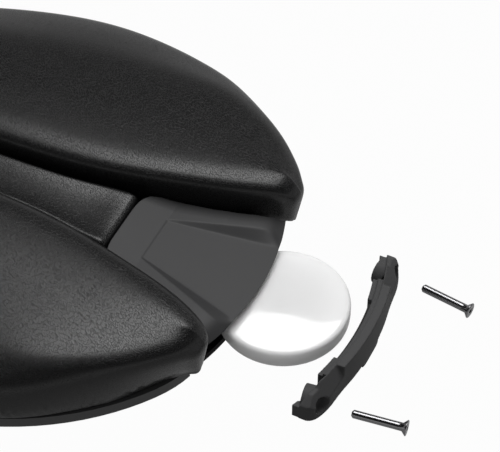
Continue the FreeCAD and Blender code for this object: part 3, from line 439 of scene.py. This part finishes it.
def strip_grid():
    """Strip: a flat-bottomed loaf whose half width and height follow the stations, with its ends'
    sections scaled about the middle of the foot."""
    wide, high = np.array(STRIP_SECTION).T
    rows = []
    for x, half, crown, edge in STRIP_STATIONS:
        z = np.where(high <= 1, FOOT + (edge - FOOT) * high, edge + (crown - edge) * (high - 1))
        rows.append(np.c_[np.full(len(wide), x), half * wide, z])
    ends = []
    for (x, narrow, low), near in ((STRIP_TAIL, rows[0]), (STRIP_EDGE, rows[0]),
                                   (STRIP_NOSE, rows[-1])):
        ends.append(np.c_[np.full(len(wide), x), near[:, 1] * narrow,
                          FOOT + (near[:, 2] - FOOT) * low])
    tail, edge, nose = ends
    grid = smooth_net([tail, edge] + rows + [nose, nose], along=320, across=70)
    roof = np.where(grid[..., 0] < ROOF_END, ROOF_TOP, FOOT)
    grid[..., 2] = np.maximum(grid[..., 2], roof)
    return grid


strip = skin("centre_strip_cover", strip_grid(), cushion_leather)
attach(strip, "saddle")
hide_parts("centre_strip")


# Rear housing ---------------------------------------------------------------------------------
# Moulded cover over the tag bay, satin dark grey.  Its top carries the strip's line down to the
# curved tail lip, and a flared flat panel is sunk into it with softly rounded walls.
# Fore and half width of its sides, fore and rise of its crown, half width of the panel and reach
# of the panel's walls
HOUSING_SIDE = np.array([(0, 20.6), (3.6, 18.4), (10, 16.2), (16, 14.5), (24, 12.9), (29, 11.8),
                         (31.0, 10.8)])
HOUSING_FRONT, FRONT_POWER = 33.0, 6
HOUSING_ACROSS, HOUSING_ALONG = 241, 221
LIP_RADIUS, ARC_END = 63.0, 12
CROWN_LINE = np.array([(-3.5, 2.45), (24.5, 2.75), (34, 4.2)])
CROWN_FALL, CROWN_BEND = 3.0, 2.2
PANEL_START, PANEL_START_RISE, PANEL_SLOPE = 24.5, 2.6, 2.6 / 28.0
PANEL_STEP = 0.6
PANEL_HALF = np.array([(24.5, 6.3), (-1.5, 12.1), (-4.0, 12.6)])
WALL_FLARE = np.array([(24.5, 0.5), (2.4, 3.4), (-4.0, 3.0)])
WALL_FILLET = 0.09
UNDERCUT, UNDERCUT_REACH = 1.3, 12.0


def smoothstep(value):
    """0 below 0 and 1 above 1, with three squares less two cubes of the value between."""
    value = np.clip(value, 0, 1)
    return value * value * (3 - 2 * value)


def ramp(value, fillet):
    """0 below 0, 1 above 1 and straight between, with both bends rounded."""
    return (np.sqrt(value ** 2 + fillet ** 2) - np.sqrt((value - 1) ** 2 + fillet ** 2) + 1) / 2


def housing_grid():
    """Top of the housing: its crown falls away towards the lip's arc, and where the panel is sunk,
    between two straight flared walls, it falls to a plane that slopes down to the lip."""
    across = np.linspace(-1, 1, HOUSING_ACROSS)
    along = np.linspace(0, 1, HOUSING_ALONG) ** 1.15
    centre = LIP_RADIUS - LIP_BULGE
    lip_side = HOUSING_SIDE[0, 1]
    share, a = np.meshgrid(across, along)
    edge_x = a * HOUSING_SIDE[-1, 0]
    y = share * np.interp(edge_x, HOUSING_SIDE[:, 0], HOUSING_SIDE[:, 1])
    lip = centre - np.sqrt(LIP_RADIUS ** 2 - (share * lip_side) ** 2)
    front = HOUSING_FRONT - (HOUSING_FRONT - HOUSING_SIDE[-1, 0]) * np.abs(share) ** FRONT_POWER
    x = lip * (1 - a) + front * a
    behind = np.where(x < ARC_END, centre - np.hypot(x - centre, y), x)
    crown = np.interp(behind, CROWN_LINE[:, 0], CROWN_LINE[:, 1])
    crown = crown - CROWN_FALL * np.exp(-(behind + LIP_BULGE) / CROWN_BEND)
    panel = PANEL_START_RISE - PANEL_SLOPE * (PANEL_START - x)
    half = np.interp(-x, -PANEL_HALF[:, 0], PANEL_HALF[:, 1])
    flare = np.interp(-x, -WALL_FLARE[:, 0], WALL_FLARE[:, 1])
    sunk = 1 - ramp((np.abs(y) - half) / flare, WALL_FILLET)
    sunk = sunk * smoothstep((PANEL_START - x) / PANEL_STEP + 0.5)
    return x, y, crown * (1 - sunk) + panel * sunk


def moulded(name, base, roughness, speckle=5200.0, depth=0.00003, specular=0.35):
    """Satin moulded plastic: an even colour, slightly mottled, with a fine spark-eroded texture."""
    paint, tree, shader, where = new_paint(name)
    fine = add_node(tree, "ShaderNodeTexNoise", Vector=where, Scale=speckle, Detail=2.0)
    cloud = add_node(tree, "ShaderNodeTexNoise", Vector=where, Scale=60.0, Detail=2.0)
    tone = add_node(tree, "ShaderNodeMixRGB", Fac=cloud.outputs["Fac"],
                    Color1=[c * 0.94 for c in base] + [1], Color2=[c * 1.06 for c in base] + [1])
    shine = add_node(tree, "ShaderNodeMapRange", Value=fine.outputs["Fac"], To_Min=roughness - 0.04,
                     To_Max=roughness + 0.04)
    bump = add_node(tree, "ShaderNodeBump", Height=fine.outputs["Fac"], Strength=0.3,
                    Distance=depth)
    tree.links.new(tone.outputs[0], shader.inputs["Base Color"])
    tree.links.new(shine.outputs[0], shader.inputs["Roughness"])
    tree.links.new(bump.outputs[0], shader.inputs["Normal"])
    shader.inputs["Specular IOR Level"].default_value = specular
    return paint


def shell_under(top, low):
    """Two grids: the top's own, and one at a single height under it, moved forward at the lip."""
    x, y, z = top
    upper = np.stack([x, y, z], -1)
    forward = UNDERCUT * np.clip(1 - (x + LIP_BULGE) / UNDERCUT_REACH, 0, 1)
    return upper, np.stack([x + forward, y, np.full_like(z, low)], -1)


def lidded(name, upper, lower, material):
    """Closed mesh between two grids of the same size: both faces and the wall around them."""
    rows, columns = upper.shape[:2]
    count = rows * columns
    index = np.arange(count).reshape(rows, columns)
    quads = quads_between(index)
    rim = np.r_[index[0, :-1], index[:-1, -1], index[-1, :0:-1], index[:0:-1, 0]]
    wall = np.c_[rim, np.roll(rim, -1), np.roll(rim, -1) + count, rim + count]
    mesh = bpy.data.meshes.new(name)
    points = place(np.r_[upper.reshape(-1, 3), lower.reshape(-1, 3)])
    mesh.from_pydata(points.tolist(), [], np.r_[quads, quads[:, ::-1] + count, wall].tolist())
    return finish_mesh(name, mesh, material)


housing_plastic = moulded("housing_plastic", (0.033, 0.033, 0.034), 0.5, specular=0.26)
housing_top, housing_low = shell_under(housing_grid(), ROOF_RISE)
housing = lidded("housing_cover", housing_top, housing_low, housing_plastic)
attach(housing, "saddle")
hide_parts("rear_housing")


# Base shell, tray and sockets -----------------------------------------------------------------
# Injection-moulded black nylon: the shell whose rim shows under the cushions, the tray of the tag
# bay, and the sockets that take the rails.  Their shapes are the frame's own.  The tray is painted
# much darker than the shell's nylon, as painted shade inside the tag bay.
shell_plastic = moulded("shell_plastic", (0.055, 0.055, 0.056), 0.5, depth=0.00005)


def refinish(nodes, material):
    """Give frame nodes a better material in place of their plain one."""
    for node in nodes:
        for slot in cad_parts[node].material_slots:
            slot.material = material


refinish(["base_shell", "rear_socket_left", "rear_socket_right", "front_socket"], shell_plastic)
# Painted shade: the tray's near-black colour stands in for the shade in the tag bay's opening.
refinish(["pocket_tray"], moulded("tray_painted_shade", (0.006, 0.006, 0.006), 0.7, specular=0.08))
foam = moulded("bay_foam", (0.02, 0.02, 0.021), 0.9, speckle=1800.0, depth=0.0002, specular=0.1)
refinish(["bay_pad"], foam)


# Rear cap -------------------------------------------------------------------------------------
# Curved moulded cap that closes the bay, with screw bosses, a ledge and countersunk holes.  Its
# edges are softened by the mould.
cap_plastic = moulded("cap_plastic", (0.064, 0.064, 0.065), 0.55, specular=0.08)


def softened(node, name, material, voxel, passes):
    """Copy of a frame node, remeshed in fine voxels and relaxed, so that its edges are rounded."""
    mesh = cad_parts[node].data.copy()
    work = bmesh.new()
    work.from_mesh(mesh)
    bmesh.ops.remove_doubles(work, verts=work.verts, dist=0.001 * MM)
    work.to_mesh(mesh)
    work.free()
    thing = bpy.data.objects.new(name, mesh)
    bpy.context.scene.collection.objects.link(thing)
    remesh = thing.modifiers.new("remesh", "REMESH")
    remesh.mode = "VOXEL"
    remesh.voxel_size = voxel * MM
    remesh.use_smooth_shade = True
    relax = thing.modifiers.new("relax", "SMOOTH")
    relax.factor = 0.5
    relax.iterations = passes
    evaluated = thing.evaluated_get(bpy.context.evaluated_depsgraph_get())
    thing.data = bpy.data.meshes.new_from_object(evaluated)
    thing.modifiers.clear()
    thing.data.materials.clear()
    thing.data.materials.append(material)
    return thing


cap = softened("rear_cap", "cap_body", cap_plastic, voxel=0.2, passes=6)
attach(cap, "cap")
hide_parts("rear_cap")
seal_rubber = moulded("seal_rubber", (0.02, 0.02, 0.02), 0.75, specular=0.2)
refinish(["cap_seal"], seal_rubber)


# Cap screws -----------------------------------------------------------------------------------
# M2 countersunk steel screws in bright chrome, each with a rolled thread and a hexagon socket;
# the chrome's colour is darkened as a painted reflection of a dark room.  They stand off behind
# the cap along their own splayed axes.
SCREW_LENGTH, SCREW_RADIUS, HEAD_RADIUS = 13.0, 1.0, 1.9
THREAD_PITCH, THREAD_DEPTH, THREAD_START = 0.4, 0.03, 2.6
THREAD_STEPS = 8
TIP_LENGTH, TIP_CHAMFER = 0.35, 0.4
SCREW_SPLAY = math.radians(7.5)
HEX_RADIUS, HEX_DEPTH = 0.75, 0.9
RING_POINTS = 36


def screw_grid():
    """Screw along its own axis: rings of a radius at a distance from the head, round except at
    the hexagon socket, with a triangle wave in the shank's radius that turns with the angle."""
    angles = np.linspace(0, 2 * math.pi, RING_POINTS, endpoint=False)
    half_flat = math.pi / 6
    hexagon = (HEX_RADIUS * math.cos(half_flat)
               / np.cos((angles + half_flat) % (2 * half_flat) - half_flat))
    rings = [(HEX_DEPTH, 0.0 * hexagon), (HEX_DEPTH, hexagon), (0.03, hexagon),
             (0.0, hexagon + 0.05)]
    cone = HEAD_RADIUS - SCREW_RADIUS
    for x, radius in ((0.0, HEAD_RADIUS - 0.15), (0.06, HEAD_RADIUS - 0.03), (0.2, HEAD_RADIUS),
                      (0.28, HEAD_RADIUS - 0.05), (0.25 + cone, SCREW_RADIUS),
                      (THREAD_START - 0.2, SCREW_RADIUS)):
        rings.append((x, np.full(RING_POINTS, radius)))
    for x in np.arange(THREAD_START, SCREW_LENGTH - TIP_LENGTH, THREAD_PITCH / THREAD_STEPS):
        phase = (x / THREAD_PITCH - angles / (2 * math.pi)) % 1
        fade = np.clip((x - THREAD_START) / THREAD_PITCH, 0, 1)
        rings.append((x, SCREW_RADIUS - THREAD_DEPTH * fade * (1 - np.abs(2 * phase - 1))))
    rings.append((SCREW_LENGTH, np.full(RING_POINTS, SCREW_RADIUS - TIP_CHAMFER)))
    rings.append((SCREW_LENGTH, np.zeros(RING_POINTS)))
    return np.array([np.c_[np.full(RING_POINTS, x), radius * np.cos(angles),
                           radius * np.sin(angles)] for x, radius in rings])


def screw_steel():
    """Bright chrome whose colour is darkened as a painted reflection of a dark room; its gloss
    varies a little from spot to spot.
    """
    paint, tree, shader, where = new_paint("screw_chrome")
    marks = add_node(tree, "ShaderNodeTexNoise", Vector=where, Scale=3000.0, Detail=2.0)
    shine = add_node(tree, "ShaderNodeMapRange", Value=marks.outputs["Fac"], To_Min=0.12,
                     To_Max=0.26)
    tree.links.new(shine.outputs[0], shader.inputs["Roughness"])
    # Painted reflection: the dark metal colour stands in for the dark room that the chrome
    # reflects.
    shader.inputs["Base Color"].default_value = (0.2, 0.2, 0.205, 1)
    shader.inputs["Metallic"].default_value = 1.0
    return paint


screw_chrome = screw_steel()
for word, hand in (("left", 1), ("right", -1)):
    node = "cap_screw_%s" % word
    low, high = (np.array(c) / MM - (tail_x, 0, lip_z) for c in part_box(node))
    middle = (low + high) / 2
    way = np.array([math.cos(SCREW_SPLAY), hand * math.sin(SCREW_SPLAY), 0])
    side_way = np.array([-way[1], way[0], 0])
    start = np.array([low[0] + HEAD_RADIUS * math.sin(SCREW_SPLAY), 0, middle[2]])
    start[1] = hand * (min(abs(low[1]), abs(high[1])) + HEAD_RADIUS * math.cos(SCREW_SPLAY))
    local = screw_grid()
    grid = (start + local[..., :1] * way + local[..., 1:2] * side_way + local[..., 2:] * (0, 0, 1))
    screw = skin("%s_threaded" % node, grid, screw_chrome, wrap=True)
    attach(screw, "%s_screw" % word)
    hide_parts(node)
insert_brass = moulded("insert_brass", (0.6, 0.42, 0.16), 0.3, specular=0.5)
refinish(["brass_insert_left", "brass_insert_right"], insert_brass)


# Tracking tag ---------------------------------------------------------------------------------
# Coin-shaped tag, 31.9 mm across: a polished white shell domed on top, with a steel battery cover
# pressed into its underside and the cell, the board and the sounder inside.
TAG_PROFILE = np.array([
    (0, 4.0), (4, 3.98), (8, 3.8), (12, 3.65), (15.2, 3.35), (15.95, 2.8), (15.95, 1.4),
    (15.95, -0.5), (15.7, -1.6), (14.9, -2.4), (13.6, -2.9), (13.6, -1.4), (14.2, -0.4),
    (12.6, 1.4), (8, 2.65), (0, 2.9)])
tag_low, tag_high = (np.array(c) / MM - (tail_x, 0, lip_z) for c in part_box("tag_shell"))
tag_centre = np.array([(tag_low[0] + tag_high[0]) / 2, 0, tag_high[2] - TAG_PROFILE[0, 1]])


def turned_grid(profile, centre, around=128, steps=90):
    """Surface turned about a vertical axis from a smoothed outline of radius and height."""
    weights = cubic_basis(len(profile), steps)
    line = weights @ profile
    angles = np.linspace(0, 2 * math.pi, around, endpoint=False)
    ring = np.stack([np.outer(line[:, 0], np.cos(angles)), np.outer(line[:, 0], np.sin(angles)),
                     np.repeat(line[:, 1:], around, 1)], -1)
    return ring + centre


def glossy_white():
    """Polished white plastic with a clear, even gloss."""
    paint, tree, shader, where = new_paint("tag_white")
    haze = add_node(tree, "ShaderNodeTexNoise", Vector=where, Scale=400.0, Detail=2.0)
    shine = add_node(tree, "ShaderNodeMapRange", Value=haze.outputs["Fac"], To_Min=0.05,
                     To_Max=0.09)
    tree.links.new(shine.outputs[0], shader.inputs["Roughness"])
    shader.inputs["Base Color"].default_value = (0.93, 0.93, 0.93, 1)
    shader.inputs["Subsurface Weight"].default_value = 0.7
    shader.inputs["Subsurface Radius"].default_value = (1, 1, 1)
    shader.inputs["Subsurface Scale"].default_value = 0.004
    return paint


tag_white = glossy_white()
tag = skin("tag_dome", turned_grid(TAG_PROFILE, tag_centre), tag_white, wrap=True)
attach(tag, "tag")
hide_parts("tag_shell")


def brushed(name, base, roughness):
    """Plain metal with a fine brushing along the saddle."""
    paint, tree, shader, where = new_paint(name)
    lines = add_node(tree, "ShaderNodeMapping", Vector=where, Scale=(0.05, 1.0, 1.0))
    brush = add_node(tree, "ShaderNodeTexNoise", Vector=lines.outputs[0], Scale=4000.0, Detail=2.0)
    shine = add_node(tree, "ShaderNodeMapRange", Value=brush.outputs["Fac"],
                     To_Min=roughness - 0.06, To_Max=roughness + 0.08)
    bump = add_node(tree, "ShaderNodeBump", Height=brush.outputs["Fac"], Strength=0.15,
                    Distance=0.00002)
    tree.links.new(shine.outputs[0], shader.inputs["Roughness"])
    tree.links.new(bump.outputs[0], shader.inputs["Normal"])
    shader.inputs["Base Color"].default_value = list(base) + [1]
    shader.inputs["Metallic"].default_value = 1.0
    return paint


refinish(["tag_battery_cover", "tag_battery"], brushed("tag_steel", (0.62, 0.62, 0.62), 0.28))
refinish(["tag_sounder"], brushed("sounder_brass", (0.62, 0.45, 0.2), 0.3))
refinish(["tag_board"], moulded("board_green", (0.02, 0.12, 0.05), 0.4))


# Rails and fixings ----------------------------------------------------------------------------
# Bent 7 mm steel rails in a black satin coat, held in their sockets, with black tapping screws.
rail_coat = moulded("rail_coat", (0.022, 0.022, 0.023), 0.34, speckle=1400.0, specular=0.5)
refinish(["rail_left", "rail_right"], rail_coat)
black_steel = brushed("black_steel", (0.1, 0.1, 0.1), 0.35)
refinish(["socket_screws", "tray_screws", "front_socket_screw"], black_steel)
